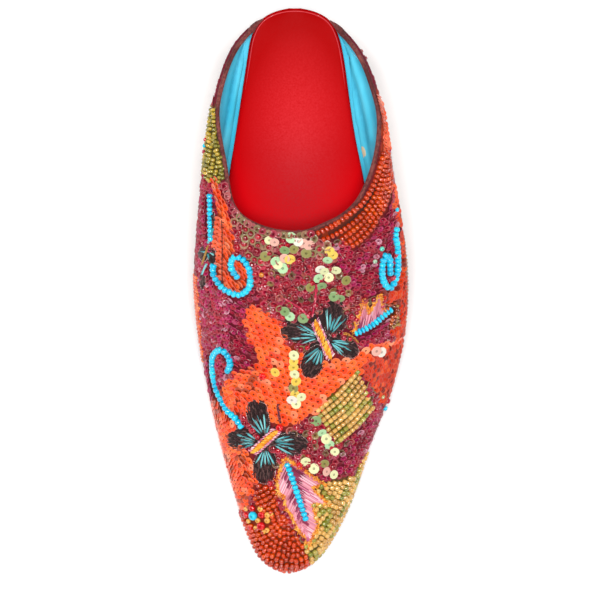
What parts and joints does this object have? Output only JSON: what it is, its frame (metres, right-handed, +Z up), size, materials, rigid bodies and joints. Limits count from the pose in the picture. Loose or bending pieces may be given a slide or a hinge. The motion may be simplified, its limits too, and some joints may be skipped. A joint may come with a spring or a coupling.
{
  "type": "heeled mule",
  "caption": "Left-foot heeled mule with a long pointed toe, open back and a hollow bead-embroidered upper over a padded insole, arched sole and covered heel.",
  "frame": {"origin": "on the floor, under the middle of the shoe's box", "axes": "+Z up, the toe towards -Y, +X towards the outer side of the left foot"},
  "size_m": [0.0886, 0.238, 0.086],
  "materials": {
    "sole_leather": "smooth",
    "heel_cover": "matte",
    "top_piece_rubber": "matte",
    "insole_leather": "grained",
    "upper_cloth": "sequinned",
    "binding_cloth": "matte",
    "turquoise_beads": "gloss",
    "wing_thread": "satin stitch",
    "leaf_thread": "satin stitch",
    "straw_beads": "gloss",
    "rust_beads": "gloss"
  },
  "bodies": {
    "root": {"outsole": "sole_leather", "heel": "heel_cover", "heel_top_piece": "top_piece_rubber", "insole": "insole_leather", "upper": "upper_cloth", "collar_binding": "binding_cloth", "scroll_inner": "turquoise_beads", "scroll_outer": "turquoise_beads", "scroll_hook": "turquoise_beads", "butterfly_instep": "wing_thread", "butterfly_vamp": "wing_thread", "leaf_instep": "leaf_thread", "leaf_toe": "leaf_thread", "straw_patch_side": "straw_beads", "straw_patch_toe": "straw_beads", "rust_patch_toe": "rust_beads", "rust_band_collar": "rust_beads"}
  },
  "joints": []
}
